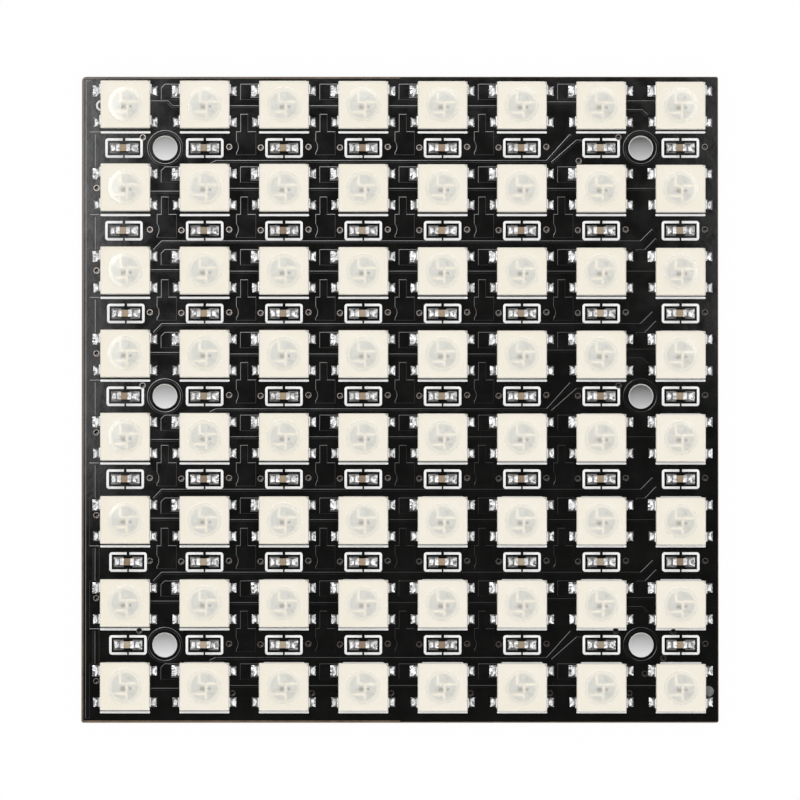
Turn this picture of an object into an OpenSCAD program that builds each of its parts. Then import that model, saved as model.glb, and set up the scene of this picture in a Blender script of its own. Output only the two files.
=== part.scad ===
// Matrix of 8 x 8 addressable colour LEDs on a black circuit board.
// It lies on its back: X runs along a row of LEDs, Y across the rows from the
// last to the first, and Z out of the LED side. The origin is the middle of
// the board's back face. All sizes are millimetres.

/* [Board] */
// Width of the board, along a row of LEDs
board_w = 65; // [64.8:0.1:68]
// Length of the board, across the rows
board_l = 66; // [65.6:0.1:69]
// Thickness of the laminate
board_t = 1.6; // [1:0.2:2.4]
// Radius of the board's corner beside the first LED
first_corner_r = 0.45; // [0.2:0.05:0.8]
// Radius of its other corners
corner_r = 0.2; // [0.1:0.05:0.8]
// Diameter of the six mounting holes
hole_d = 2.4; // [2:0.1:2.6]

/* [Grid] */
// Spacing of the LEDs along a row
pitch_x = 8.1; // [8:0.05:8.15]
// Spacing of the rows of mounting holes, three rows of LEDs apart
hole_pitch_y = 25.4; // [25.2:0.1:25.4]
// Offset of the grid from the middle of the board, to the right and to the top
grid_shift = 0.3; // [0:0.1:0.3]

/* [LED] */
// Width of the LED housing at its mould line, from lead to lead
led_w = 5.1; // [5:0.05:5.15]
// Length of the LED housing at its mould line
led_l = 4.9; // [4.8:0.05:4.95]
// Height of the housing's top face above the board
led_h = 1.57; // [1.5:0.01:1.7]
// Draft of the housing's walls in degrees, above and below the mould line
draft = 4; // [2:0.5:6]
// Diameter of the reflector cup at the top face
cup_d = 3.5; // [3.2:0.1:3.8]
// Diameter of the cup's floor
floor_d = 2.7; // [2.4:0.1:3]
// Side of the corner that is cut off to mark the first lead
corner_cut = 0.4; // [0.2:0.1:0.6]

/* [Leads] */
// Width over the bent leads
lead_span = 5.4; // [5.35:0.05:5.6]
// Width of one lead
lead_w = 0.95; // [0.8:0.05:1]
// Thickness of the lead frame's sheet
lead_t = 0.15; // [0.1:0.01:0.18]
// Distance of each lead's middle from the LED's middle line
lead_y = 1.6; // [1.5:0.05:1.65]

/* [Placing] */
// How far the LEDs sit above their places in the printed pattern, on average
place_up = 0.01; // [-0.05:0.01:0.05]
// How much less that is for each row further down
place_row = 0.03; // [0:0.005:0.035]
// How much less that is for each column further right
place_column = 0.02; // [0:0.005:0.03]

/* [Capacitor] */
// Length of the capacitor over its metal ends
cap_len = 1.5; // [1.4:0.05:1.6]
// Width and height of the capacitor
cap_w = 0.75; // [0.7:0.05:0.85]
// Length of each metal end
cap_end = 0.41; // [0.3:0.01:0.45]

/* [Printed lines] */
// Width of the printed line round a capacitor
frame_line = 0.25; // [0.15:0.01:0.3]
// Width of the printed lines at an LED's lower and upper edges
led_line = 0.22; // [0.15:0.01:0.25]

/* [Hidden] */
$fn = 32;
columns = 8;
rows = 8;
pitch_y = hole_pitch_y / 3;

// Layers on the board's faces
track_t = 0.025;       // copper track under the mask
ink_t = 0.03;          // printed line
land_t = 0.04;         // tinned copper land
via_ring_t = 0.02;

// LED, measured up from the board's face
seat_z = land_t + lead_t;              // underside of the housing, on its leads' feet
frame_z = 0.75;                        // underside of the lead frame's islands
cup_z = frame_z + lead_t;              // floor of the cup
mould_z = frame_z + lead_t / 2;
fill_top = led_h - 0.04;               // the resin shrinks to just under the rim
bend_r = lead_t;                       // a lead's bends are round outside, sharp inside
foot_x = 1.75;                         // inner end of a lead's foot
root_x = 2.2;                          // where a lead leaves its island
channel = 0.28;                        // plastic between two islands
split_top_x = -0.5;                    // middle lines of the four channels
split_right_y = 0.3;
split_low_x = 0.17;
split_left_y = -0.75;
half_channel = channel / 2;
lead_out = lead_y + lead_w / 2;        // outer edge of the leads and the islands

// Lands and solder
land_inner = 1.6;
land_outer = 3.25;
first_land_outer = 3.34;               // the first lead's land is larger
first_land_w = 1.13;
solder_h = 0.5;                        // top of the solder on a lead
solder_edge = 0.03;                    // its thickness at the land's end
cap_land_inner = 0.45;
cap_land_outer = 1.45;
cap_land_w = 1.05;
cap_shift = -0.09;                     // the parts sit left of their frames' middle
cap_shell = 0.03;                      // thickness of a capacitor's metal end
cap_solder_h = 0.42;

// Chips in the cup: middle x, middle y, side in x, side in y, height
driver_chip = [-0.2, -0.24, 0.4, 0.32, 0.15];
red_chip = [0.53, -0.21, 0.2, 0.22, 0.13];
green_chip = [0.62, -0.68, 0.24, 0.2, 0.1];
blue_chip = [0.5, 0.75, 0.24, 0.2, 0.1];

// Printed lines
led_lines = [[-2.63, 5.12], [2.37, 4.2]];    // middle y and length; the housing hides the upper one
box_w = 3.58;                          // middle lines of a capacitor's frame
box_l = 1.75;
box_r = 0.28;                          // its outer corner radius
top_gap = 0.28;
low_gap = 0.18;
ring_d = 1.14;                         // ring that marks the first LED
ring_line = 0.2;
ring_at = [-2.45, 0.12];               // its middle, from the first LED's middle

// Plated holes between the two faces
via_d = 0.3;
via_wall = 0.03;
via_ring_d = 0.62;
via_right = [2.5, 0.12];               // from the middle of a capacitor's place
via_left = [-2.38, 0.05];
via_corner = [1.77, 1.1];              // moved place beside a mounting hole
via_low_corner = [1.45, 1.44];         // the same beside the lowest mounting holes
via_turn = [-2.3, -1.33];              // moved place beside the first turning tracks
via_end = [[-0.77, 1.34], [-1.79, -1.37], [-3.67, -2.93]];    // round the last hole
via_last_row = [2.85, -0.7];           // from the middle of an LED in the last row
via_edge_x = -2.95;                    // beside the LEDs of the first column
via_edge_y = [0.15, 0.55];             // in the upper rows and in the lower ones

// The first column's capacitors are placed by hand, so they wander in x
wander = [-0.15, -0.15, 0.05, 0, 0, 0.3, 0.3];

// Copper tracks under the mask
track_w = 0.26;
bus_y = 3.1;                           // bus along the top of a row, from its middle
low_bus_y = 2.86;                      // the same below a row of mounting holes
mask_gap = 0.05;                       // a pour keeps this far from a land
clear_r = 0.91;                        // and this far from a via
hole_clear_r = 1.7;                    // and a track this far from a mounting hole
turn_gap = columns - 3;                // gap where the buses below the holes turn up

plane_gap = 0.4;                       // between the board's edge and the copper plane
plane_w = 0.45;

// Tinned test pad half under the last LED, from that LED's middle
pad_d = 1.1;
pad_at = [2.8, -0.5];

// Wire lands on the back
wire_land = [3, 1.6];
wire_pitch = 2.54;
wire_x = 29;

hole_rows = [0, 3, 6];                 // capacitor rows that hold a mounting hole
hole_cols = [0, 6];                    // gaps after these columns hold one

function column_x(c) = grid_shift + (c - (columns - 1) / 2) * pitch_x;
function row_y(r) = grid_shift + ((rows - 1) / 2 - r) * pitch_y;
function led_y(r, c) = row_y(r) + place_up + place_row * ((rows - 1) / 2 - r)
    + place_column * ((columns - 1) / 2 - c);
function gap_x(c) = column_x(c) + pitch_x / 2;
function cap_y(r) = row_y(r) - pitch_y / 2;
function box_x(r, c) = column_x(c) + (c == 0 ? wander[r] : 0);
function in_list(value, values) = len(search(value, values)) > 0;
function beside_hole(r, c) = in_list(r, hole_rows) && in_list(c, hole_cols);

// One vector across a path at point i, long enough to keep the width round a bend
function unit(v) = v / norm(v);
function side(v) = [-v[1], v[0]];
function across(p, i) =
    i == 0 ? side(unit(p[1] - p[0])) :
    i == len(p) - 1 ? side(unit(p[i] - p[i - 1])) :
    let (a = side(unit(p[i] - p[i - 1])), b = side(unit(p[i + 1] - p[i])), m = unit(a + b)) m / (m * a);
function ribbon(p, w) = concat(
    [for (i = [0:len(p) - 1]) p[i] + across(p, i) * w / 2],
    [for (i = [len(p) - 1:-1:0]) p[i] - across(p, i) * w / 2]);

// ---- places ----

module at_leds(r) {
    for (c = [0:columns - 1]) translate([column_x(c), led_y(r, c), board_t]) children();
}

module at_led_lands(r) {
    for (c = [0:columns - 1]) translate([column_x(c), row_y(r), board_t]) children();
}

module at_capacitors(r) {
    for (c = [0:columns - 1]) translate([box_x(r, c) + cap_shift, cap_y(r), board_t]) children();
}

module at_mounting_holes() {
    for (r = hole_rows, c = hole_cols) translate([gap_x(c), cap_y(r)]) children();
}

module at_vias() {
    last_c = columns - 1;
    last_r = rows - 2;
    for (r = [0:last_r], c = [0:last_c]) translate([column_x(c), cap_y(r)]) {
        // right of each capacitor, or above it where a mounting hole is in the way
        if (beside_hole(r, c)) translate(r == last_r ? via_low_corner : via_corner) children();
        else translate(via_right) children();
        // left of those in the inner columns, away from the mounting holes
        if (c > 0 && c < last_c && !beside_hole(r, c - 1) && !(r == last_r && c == last_c - 1))
            translate(r == 0 && c == last_c - 1 ? via_turn : via_left) children();
    }
    // round the last mounting hole, beside the LEDs of the last row and of the first column
    for (p = via_end) translate([column_x(last_c), cap_y(last_r)] + p) children();
    for (c = [1:last_c - 1]) translate([column_x(c), row_y(rows - 1)] + via_last_row) children();
    for (r = [1:rows - 1])
        translate([column_x(0) + via_edge_x, row_y(r) + via_edge_y[r < rows / 2 ? 0 : 1]]) children();
}

// ---- board ----

module via_blank(bore) {
    tube = via_d / 2 + via_wall;
    ring = via_ring_d / 2;
    rotate_extrude() polygon([
        [bore, 0], [ring, 0], [ring, via_ring_t], [tube, via_ring_t], [tube, board_t],
        [ring, board_t], [ring, board_t + via_ring_t], [bore, board_t + via_ring_t]]);
}

// What a rounded corner loses: the square at the corner outside the arc
module corner_waste(r) {
    difference() {
        square(2 * r, center = true);
        translate([-r, -r]) circle(r);
    }
}

module board_outline() {
    difference() {
        square([board_w, board_l], center = true);
        for (x = [-1, 1], y = [-1, 1]) translate([x * board_w / 2, y * board_l / 2])
            mirror([x < 0 ? 1 : 0, 0]) mirror([0, y < 0 ? 1 : 0])
                corner_waste(x < 0 && y > 0 ? first_corner_r : corner_r);
    }
}

module wire_land_places() {
    for (x = [-1, 1], k = [-1:1]) translate([x * wire_x, k * wire_pitch, land_t / 2]) children();
}

module circuit_board() {
    color([0.08, 0.08, 0.08]) difference() {
        linear_extrude(board_t) board_outline();
        at_mounting_holes() translate([0, 0, -1]) cylinder(d = hole_d, h = board_t + 2);
        at_vias() via_blank(0);
        wire_land_places() cube([wire_land[0], wire_land[1], land_t], center = true);
    }
}

module vias() {
    color([0.45, 0.34, 0.28]) at_vias() via_blank(via_d / 2);
}

module back_wire_lands() {
    color([0.8, 0.8, 0.78]) wire_land_places() cube([wire_land[0], wire_land[1], land_t], center = true);
}

// ---- copper tracks, raised under the mask ----

module track(p) {
    polygon(ribbon(p, track_w));
}

// Power pour between two LEDs, which widens between two capacitors and
// bends round the via beside the left one
module pour() {
    difference() {
        polygon([[0.38, -0.75], [0.38, -2.53], [1.2, -2.53], [1.2, -4.95], [-0.84, -4.95],
            [-0.84, -2.53], [-0.41, -2.53], [-0.41, -0.75]]);
        translate([via_right[0] - pitch_x / 2, via_right[1] - pitch_y / 2]) circle(clear_r);
    }
}

// Supply pour round the first land of the next LED, with one corner cut
module supply_pour(cut) {
    land_end = pitch_x / 2 - first_land_outer;
    difference() {
        polygon([[-0.43, 0.7], [-0.43, 2.34 - cut], [cut - 0.43, 2.34], [1.9, 2.34], [1.9, 0.7]]);
        translate([land_end - mask_gap, lead_y - first_land_w / 2 - mask_gap])
            square([first_land_outer, first_land_w + 2 * mask_gap]);
    }
}

module data_track(y) {
    track([[-1.9, y], [1.9, y]]);
}

module gap_tracks(r, c) {
    last_gap = c == columns - 2;
    hole_row = in_list(r, hole_rows);
    if (last_gap && hole_row) {
        data_track(0.5);
        track([[-1.9, -0.4], [0.1, -0.4], [0.7, -0.9]]);
    } else if (r == 0 && c == 0) track([[-1.9, 0.5], [0.25, 0.5], [0.75, 0], [1.9, 0]]);
    else if (c == 0) data_track(r % 3 == 1 ? -0.28 : 0.15);
    else data_track(c == turn_gap && hole_row ? 0.4 : 0);
    if (!last_gap) supply_pour(c == 0 ? 0.4 : 0.05);
    if (last_gap && r > 0 && !in_list(r - 1, hole_rows)) track([[-0.5, 2.2], [0.44, 2.2], [1.6, 3.4]]);
    if (!last_gap && !beside_hole(r, c) && r < rows - 1 && !(c == turn_gap && hole_row)) pour();
}

module bus_track(r) {
    if (in_list(r - 1, hole_rows)) {
        left = gap_x(0) + 5.2;
        turn = gap_x(turn_gap);
        track([[left - 0.6, low_bus_y - 0.3], [left, low_bus_y], [turn - 1.5, low_bus_y],
            [turn + 0.95, low_bus_y + 2.74]]);
        translate([turn, 0]) track([[-1, 2.7], [1.55, 4.95], [2.1, 4.95]]);
    } else {
        left = gap_x(0) - 0.3;
        right = gap_x(columns - 2);
        track([[left - 0.85, bus_y - 0.88], [left, bus_y], [right, bus_y], [right + 1.25, bus_y + 1.25]]);
    }
}

// Copper plane down the left edge, with an arm to the right below each LED's
// last land and a second one that feeds the first land of the row below
module edge_plane() {
    translate([plane_gap - board_w / 2, plane_gap - board_l / 2])
        square([plane_w, board_l - 2 * plane_gap]);
    for (r = [0:rows - 2]) translate([column_x(0), row_y(r)])
        polygon([[-3.7, -2.55], [-2.62, -2.55], [-2.62, -6.2], [-3.1, -6.2],
            [-3.1, -2.85], [-3.25, -2.85], [-3.25, -6.2], [-3.7, -6.2]]);
}

module front_tracks() {
    color([0.1, 0.1, 0.1]) translate([0, 0, board_t]) linear_extrude(track_t) {
        for (r = [0:rows - 1], c = [0:columns - 2])
            translate([gap_x(c), row_y(r)]) gap_tracks(r, c);
        for (r = [1:rows - 1]) translate([0, row_y(r)]) bus_track(r);
        edge_plane();
        at_mounting_holes() difference() {
            circle(hole_clear_r + track_w / 2);
            circle(hole_clear_r - track_w / 2);
        }
    }
}

// ---- printed lines ----

module ink_line(len, w) {
    square([len - w, w], center = true);
    for (x = [-1, 1]) translate([x * (len - w) / 2, 0]) circle(d = w);
}

module rounded_box(w, l, r) {
    square([w, l - 2 * r], center = true);
    square([w - 2 * r, l], center = true);
    for (x = [-1, 1], y = [-1, 1]) translate([x * (w / 2 - r), y * (l / 2 - r)]) circle(r);
}

module capacitor_frame() {
    difference() {
        rounded_box(box_w + frame_line, box_l + frame_line, box_r);
        square([box_w - frame_line, box_l - frame_line], center = true);
        translate([0, box_l / 2]) square([top_gap, 2 * frame_line], center = true);
        translate([0, -box_l / 2]) square([low_gap, 2 * frame_line], center = true);
    }
}

// Everything that is printed, apart from where it would cover a via
module ink() {
    difference() {
        union() {
            for (r = [0:rows - 1], c = [0:columns - 1]) translate([column_x(c), row_y(r)])
                for (l = led_lines) translate([0, l[0]]) ink_line(l[1], led_line);
            for (r = [0:rows - 2], c = [0:columns - 1])
                translate([box_x(r, c), cap_y(r)]) capacitor_frame();
            translate([column_x(0), row_y(0)]) translate(ring_at) difference() {
                circle(d = ring_d);
                circle(d = ring_d - 2 * ring_line);
            }
        }
        at_vias() circle(d = via_ring_d);
    }
}

module silkscreen() {
    color([0.95, 0.95, 0.93]) translate([0, 0, board_t]) linear_extrude(ink_t) ink();
}

// ---- lands ----

module led_lands() {
    for (x = [-1, 1], y = [-1, 1]) {
        first = x < 0 && y > 0;
        outer = first ? first_land_outer : land_outer;
        w = first ? first_land_w : lead_w;
        translate([x * (land_inner + outer) / 2, y * lead_y, land_t / 2])
            cube([outer - land_inner, w, land_t], center = true);
    }
}

module capacitor_lands() {
    for (x = [-1, 1])
        translate([x * (cap_land_inner + cap_land_outer) / 2 - cap_shift, 0, land_t / 2])
            cube([cap_land_outer - cap_land_inner, cap_land_w, land_t], center = true);
}

module lands() {
    color([0.75, 0.75, 0.73]) {
        for (r = [0:rows - 1]) at_led_lands(r) led_lands();
        for (r = [0:rows - 2]) at_capacitors(r) capacitor_lands();
        translate([column_x(columns - 1), row_y(rows - 1), board_t]) translate(pad_at)
            cylinder(d = pad_d, h = land_t);
    }
}

// ---- LED ----

// A lead seen from its side: out of the housing, down the wall and back under it
module lead_profile() {
    face = lead_span / 2;
    difference() {
        union() {
            translate([foot_x, land_t]) square([face - bend_r - foot_x, cup_z - land_t]);
            translate([foot_x, land_t + bend_r]) square([face - foot_x, cup_z - land_t - 2 * bend_r]);
            for (z = [land_t + bend_r, cup_z - bend_r]) translate([face - bend_r, z]) circle(bend_r);
        }
        translate([foot_x - 1, land_t + lead_t])
            square([face - lead_t - foot_x + 1, frame_z - land_t - lead_t]);
    }
}

// Turns a side view into a piece as wide as a lead, at one of the four leads
module at_lead(x_sign, y_sign) {
    mirror([x_sign < 0 ? 1 : 0, 0, 0]) translate([0, y_sign * lead_y + lead_w / 2, 0])
        rotate([90, 0, 0]) linear_extrude(lead_w) children();
}

module rect(x0, x1, y0, y1) {
    translate([x0, y0]) square([x1 - x0, y1 - y0]);
}

// The four islands form a pinwheel in the cup's floor. Each runs out to one lead.
module island() {
    translate([0, 0, frame_z]) linear_extrude(lead_t) children();
}

module frame_top() {
    island() rect(split_top_x + half_channel, root_x, split_right_y + half_channel, lead_out);
    at_lead(1, 1) lead_profile();
}

module frame_left() {
    low = split_left_y + half_channel;
    island() {
        rect(-root_x, split_top_x - half_channel, low, lead_out);
        rect(-root_x, split_low_x - half_channel, low, split_right_y - half_channel);
    }
    at_lead(-1, 1) lead_profile();
}

module frame_right() {
    island() rect(split_low_x + half_channel, root_x, -lead_out, split_right_y - half_channel);
    at_lead(1, -1) lead_profile();
}

module frame_low() {
    island() rect(-root_x, split_low_x - half_channel, -lead_out, split_left_y - half_channel);
    at_lead(-1, -1) lead_profile();
}

module lead_frame() {
    frame_top();
    frame_left();
    frame_right();
    frame_low();
}

// Side view of the housing, widest at the mould line
module wall_profile(w) {
    up = (led_h - mould_z) * tan(draft);
    down = (mould_z - seat_z) * tan(draft);
    half = w / 2;
    polygon([
        [half - down, seat_z], [half, mould_z], [half - up, led_h],
        [up - half, led_h], [-half, mould_z], [down - half, seat_z]]);
}

module housing() {
    corner = [led_w / 2, led_l / 2];
    difference() {
        intersection() {
            rotate([90, 0, 0]) translate([0, 0, -led_l / 2]) linear_extrude(led_l) wall_profile(led_w);
            rotate([90, 0, 90]) translate([0, 0, -led_w / 2]) linear_extrude(led_w) wall_profile(led_l);
        }
        translate([0, 0, cup_z]) cylinder(d1 = floor_d, d2 = cup_d, h = led_h - cup_z);
        translate([0, 0, mould_z]) linear_extrude(led_h) polygon([
            corner - [corner_cut, 0], corner + [1, 0], corner + [1, 1], corner + [0, 1] - [corner_cut, 0]]);
        lead_frame();
    }
}

module chip(c) {
    translate([c[0] - c[2] / 2, c[1] - c[3] / 2, cup_z]) cube([c[2], c[3], c[4]]);
}

module fill() {
    top_d = floor_d + (cup_d - floor_d) * (fill_top - cup_z) / (led_h - cup_z);
    difference() {
        translate([0, 0, cup_z]) cylinder(d1 = floor_d, d2 = top_d, h = fill_top - cup_z);
        for (c = [driver_chip, red_chip, green_chip, blue_chip]) chip(c);
    }
}

// Wedge with a hollow face, from height h at x = 0 down to its edge at x = reach
module hollow_wedge(reach, h) {
    fall = h - solder_edge;
    r = (reach * reach + fall * fall) / (2 * fall);
    difference() {
        square([reach, h]);
        translate([reach, solder_edge + r]) circle(r);
    }
}

// Solder stands on a land and climbs the lead
module led_solder() {
    face = lead_span / 2;
    for (x = [-1, 1], y = [-1, 1]) {
        outer = x < 0 && y > 0 ? first_land_outer : land_outer;
        at_lead(x, y) translate([face, land_t]) hollow_wedge(outer - face, solder_h - land_t);
    }
}

module led_housings_row(r) {
    color([0.95, 0.93, 0.88]) at_leds(r) housing();
}

module led_fills_row(r) {
    color([0.9, 0.92, 0.85, 0.5]) at_leds(r) fill();
}

module led_lead_frames_row(r) {
    color([0.82, 0.82, 0.8]) at_leds(r) lead_frame();
}

module led_solder_row(r) {
    color([0.7, 0.7, 0.7]) at_led_lands(r) led_solder();
}

module chips_of(c, tint) {
    color(tint) for (r = [0:rows - 1]) at_leds(r) chip(c);
}

// ---- capacitor ----

module capacitor_body() {
    inner = cap_w - 2 * cap_shell;
    translate([0, 0, land_t + cap_w / 2]) cube([cap_len - 2 * cap_shell, inner, inner], center = true);
}

module capacitor_end(x_sign) {
    inner = cap_w - 2 * cap_shell;
    translate([x_sign * (cap_len - cap_end) / 2, 0, land_t + cap_w / 2]) difference() {
        cube([cap_end, cap_w, cap_w], center = true);
        translate([-x_sign * cap_shell, 0, 0]) cube([cap_end, inner, inner], center = true);
    }
}

module capacitor_solder() {
    for (x = [-1, 1]) {
        reach = cap_land_outer - cap_len / 2 - x * cap_shift;
        mirror([x < 0 ? 1 : 0, 0, 0]) translate([cap_len / 2, cap_w / 2, land_t])
            rotate([90, 0, 0]) linear_extrude(cap_w) hollow_wedge(reach, cap_solder_h);
    }
}

module capacitor_bodies_row(r) {
    color([0.62, 0.52, 0.4]) at_capacitors(r) capacitor_body();
}

module capacitor_ends_row(r) {
    color([0.8, 0.78, 0.74]) at_capacitors(r) for (x = [-1, 1]) capacitor_end(x);
}

module capacitor_solder_joints() {
    color([0.7, 0.7, 0.7]) for (r = [0:rows - 2]) at_capacitors(r) capacitor_solder();
}

// ---- nodes ----

function row_names(name, last) = [for (r = [1:last]) str(name, "_row_", r)];

circuit_board();
vias();
front_tracks();
silkscreen();
lands();
back_wire_lands();
for (r = [0:rows - 1]) {
    led_housings_row(r);
    led_fills_row(r);
    led_lead_frames_row(r);
    led_solder_row(r);
}
chips_of(driver_chip, [0.2, 0.2, 0.2]);  // driver_chips
chips_of(red_chip, [0.3, 0.24, 0.2]);  // red_chips
chips_of(green_chip, [0.7, 0.8, 0.7]);  // green_chips
chips_of(blue_chip, [0.7, 0.72, 0.85]);  // blue_chips
for (r = [0:rows - 2]) {
    capacitor_bodies_row(r);
    capacitor_ends_row(r);
}
capacitor_solder_joints();
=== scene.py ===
# %% [markdown]
# # A matrix of 64 addressable LEDs
# The board lies flat and its LED side looks up. The solids come in first, in
# metres, and each of the cells below turns one family of them into the real
# piece: moulded housings, clear resin, solder, chip capacitors, raised tracks.

# %% Load the frame
import math
import random

import bpy
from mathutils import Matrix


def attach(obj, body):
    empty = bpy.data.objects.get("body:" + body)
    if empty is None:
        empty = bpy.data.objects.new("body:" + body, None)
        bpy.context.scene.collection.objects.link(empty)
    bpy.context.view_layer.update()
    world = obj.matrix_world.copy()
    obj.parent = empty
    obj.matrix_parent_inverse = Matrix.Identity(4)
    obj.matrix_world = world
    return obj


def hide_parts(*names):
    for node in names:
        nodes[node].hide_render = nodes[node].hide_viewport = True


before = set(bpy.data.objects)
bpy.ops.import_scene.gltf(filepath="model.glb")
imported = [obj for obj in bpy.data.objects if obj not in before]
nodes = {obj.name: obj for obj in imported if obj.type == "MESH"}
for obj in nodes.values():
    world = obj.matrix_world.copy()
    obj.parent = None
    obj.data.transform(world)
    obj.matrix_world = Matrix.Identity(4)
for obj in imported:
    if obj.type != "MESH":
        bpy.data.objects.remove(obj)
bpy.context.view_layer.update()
MM = 0.001

# %% [markdown]
# ## The grid
# Eight rows of eight LEDs share one grid, whose middle is a little off the
# board's, and a row of capacitors runs between two rows of LEDs. Each place
# could be read off its solid, but one rule is shorter and puts every new
# piece exactly where its solid was. Sizes are in millimetres from here on.

# %% Grid in millimetres
COUNT = 8
MIDDLE = (COUNT - 1) / 2
PITCH_X = 8.1
PITCH_Y = 25.4 / 3
SHIFT = 0.3
LED_X = [SHIFT + (column - MIDDLE) * PITCH_X for column in range(COUNT)]
LED_Y = [SHIFT + (MIDDLE - row) * PITCH_Y for row in range(COUNT)]
CAP_Y = [y - PITCH_Y / 2 for y in LED_Y[:-1]]
print("first LED at", round(LED_X[0], 2), round(LED_Y[0], 2))

# %% [markdown]
# ## The bench
# Edit operators merge and round with tolerances meant for sizes near one, and
# these parts are millimetres wide. So the bench works with one unit to the
# millimetre, and a finished piece is scaled to metres once, at the end. An
# operator acts on all that is selected, so the first helpers let go of
# everything and take hold of one piece. Most pieces start as a block.

# %% Taking hold
ops = bpy.ops


def let_go():
    if bpy.context.object and bpy.context.object.mode != "OBJECT":
        ops.object.mode_set(mode="OBJECT")
    ops.object.select_all(action="DESELECT")


def take(*objects):
    let_go()
    for o in objects:
        o.select_set(True)
    bpy.context.view_layer.objects.active = objects[0]
    return objects[0]


def apply_place(o):
    take(o)
    ops.object.transform_apply(location=True, rotation=True, scale=True)
    return o


def block(x0, x1, y0, y1, z0, z1):
    let_go()
    ops.mesh.primitive_cube_add(size=1, location=((x0 + x1) / 2, (y0 + y1) / 2, (z0 + z1) / 2),
                                scale=(x1 - x0, y1 - y0, z1 - z0))
    return apply_place(bpy.context.object)


print("bench: pieces can be added and held")

# %% [markdown]
# ## Picking by place
# By hand, a face or an edge is clicked. In code it is found by where it is or
# which way it faces: a test is tried on each, and edit mode opens with those
# that pass. A list of numbers would be shorter, but every cut renumbers the
# mesh, and a place stays what it is.

# %% Picking
def pick(o, kind, test):
    """Enters edit mode with the faces, edges or vertices that pass the test selected."""
    take(o)
    bpy.context.tool_settings.mesh_select_mode = [kind == k for k in ("VERT", "EDGE", "FACE")]
    mesh = o.data
    for group in (mesh.vertices, mesh.edges, mesh.polygons):
        group.foreach_set("select", [False] * len(group))
    places = [v.co for v in mesh.vertices]
    if kind == "VERT":
        for v in mesh.vertices:
            v.select = test(v.co)
    elif kind == "EDGE":
        for e in mesh.edges:
            e.select = test(*(places[end] for end in e.vertices))
    else:
        for f in mesh.polygons:
            f.select = test(f.center, f.normal)
    ops.object.mode_set(mode="EDIT")


def all_of(o):
    take(o)
    ops.object.mode_set(mode="EDIT")
    ops.mesh.select_mode(type="VERT")
    ops.mesh.select_all(action="SELECT")


def near(a, b, tolerance=1e-3):
    return abs(a - b) < tolerance


def both_at(z):
    """A test for edges that lie at one height."""
    return lambda a, b: near(a.z, z) and near(b.z, z)


print("bench: faces, edges and vertices can be picked")

# %% [markdown]
# ## Shaping
# Moulded and cut parts need few moves: a cut across, a shift or a narrowing of
# what was picked, a bevel along an edge, and another solid to carve with. A
# hole could be drawn into a face by hand, but a Boolean modifier that is
# applied at once leaves a cleaner wall.

# %% Shaping
def cut_across(o, place, normal):
    all_of(o)
    ops.mesh.bisect(plane_co=place, plane_no=normal)
    let_go()


def shift(o, test, move):
    pick(o, "VERT", test)
    ops.transform.translate(value=move)
    let_go()


def narrow(o, test, factors, centre):
    pick(o, "VERT", test)
    ops.transform.resize(value=factors, center_override=centre)
    let_go()


def soften(o, test, width, steps=2):
    pick(o, "EDGE", test)
    ops.mesh.bevel(offset=width, segments=steps, affect="EDGES", clamp_overlap=True)
    let_go()


def carve(o, cutter):
    take(o)
    mod = o.modifiers.new("carve", "BOOLEAN")
    mod.operation, mod.solver, mod.object = "DIFFERENCE", "EXACT", cutter
    ops.object.modifier_apply(modifier=mod.name)
    bpy.data.objects.remove(cutter)
    return o


def smooth(o, degrees=35):
    take(o)
    ops.object.shade_smooth_by_angle(angle=math.radians(degrees))
    return o


print("bench: pieces can be cut, shifted, narrowed, softened and carved")

# %% [markdown]
# ## Dealing out and dressing
# What repeats is modelled once. Copies of it could stay separate objects, but
# a row that is one mesh is easier to hide or paint, so the copies are joined.
# A finished piece is then scaled to metres, gets its material, is hung on the
# body that carries it and hides the solids that it stands for.

# %% Dealing out and dressing
def lay_out(patterns, name, places):
    """Copies one of the patterns to each place (x, y, z, turn, which), as one mesh."""
    copies = []
    for x, y, z, turn, which in places:
        c = patterns[which].copy()
        c.data = patterns[which].data.copy()
        c.location, c.rotation_euler = (x, y, z), (0, 0, turn)
        bpy.context.scene.collection.objects.link(c)
        copies.append(c)
    whole = take(*copies)
    if len(copies) > 1:
        ops.object.join()
    whole.name = whole.data.name = name
    return apply_place(whole)


def dress(o, node_names, material):
    """Scales a finished piece to metres and puts it in place of its solids."""
    o.scale = (MM, MM, MM)
    apply_place(o)
    o.data.materials.clear()
    o.data.materials.append(material)
    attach(o, "root")
    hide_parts(*node_names)
    return o


print("bench ready")

# %% [markdown]
# ## Writing finishes
# A finish is a few sums over a surface: where a stain starts, how rough a
# spot is. The nodes could be wired one by one, but then nobody can read the
# sum. The class below lets it be written as plain arithmetic, and each
# operator adds the Math node that does it.

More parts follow.
